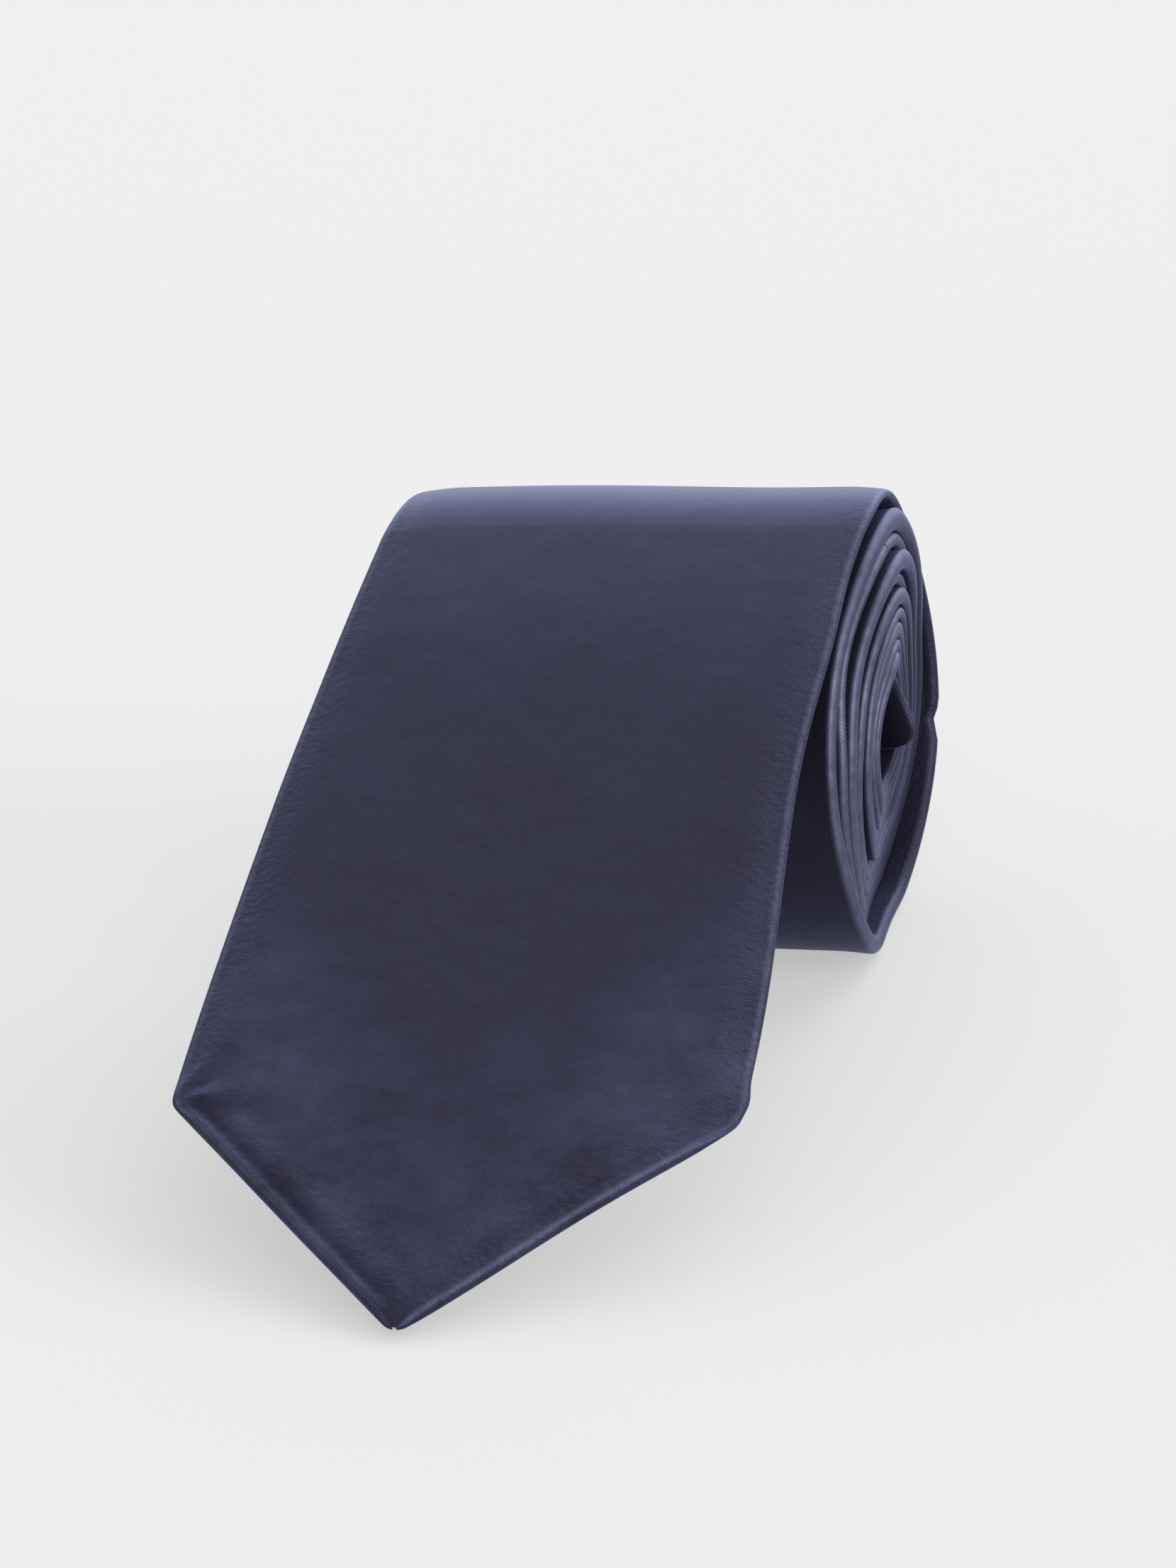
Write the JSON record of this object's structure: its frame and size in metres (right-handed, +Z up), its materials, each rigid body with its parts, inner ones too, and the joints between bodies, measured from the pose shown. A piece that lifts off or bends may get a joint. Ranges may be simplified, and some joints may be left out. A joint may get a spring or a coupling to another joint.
{
  "type": "necktie",
  "caption": "Necktie rolled up from its narrow end, with its wide pointed blade hanging from the roll to the table, its tip touching.",
  "frame": {"origin": "middle of the rolled tie's box, on the surface it stands on", "axes": "+X along the roll's axis towards its closed end, +Y from the blade's point towards the roll, +Z up"},
  "size_m": [0.08, 0.192, 0.0684],
  "materials": {
    "satin": "navy silk satin, fine diagonal twill, soft sheen",
    "lining": "smooth navy lining twill",
    "interlining": "brushed wool canvas, undyed",
    "thread": "twisted navy silk thread",
    "label": "blank woven satin tape"
  },
  "bodies": {
    "roll": {"blade_shell_rolled": "satin", "neck_shell": "satin", "tail_shell": "satin", "tail_shell_core": "satin", "interlining_rolled": "interlining", "interlining_tail": "interlining", "tail_tipping": "lining", "blade_neck_seam": "thread", "neck_tail_seam": "thread", "slip_stitch_rolled": "thread", "stitch_reserve_loop": "thread", "tail_bar_tack": "thread", "tail_hem_stitch": "thread", "keeper_loop": "satin", "keeper_tacks": "thread", "care_label": "label"},
    "blade": {"blade_shell_fall": "satin", "interlining_fall": "interlining", "blade_tipping": "lining", "slip_stitch_fall": "thread", "blade_bar_tack": "thread", "blade_hem_stitch": "thread"}
  },
  "joints": [
    {"name": "blade_lift", "type": "hinge", "parent": "roll", "child": "blade", "pos_m": [0, 0.05051, 0.06562], "axis": [-0.9991, 0, -0.0419], "range_deg": [0, 90]}
  ]
}
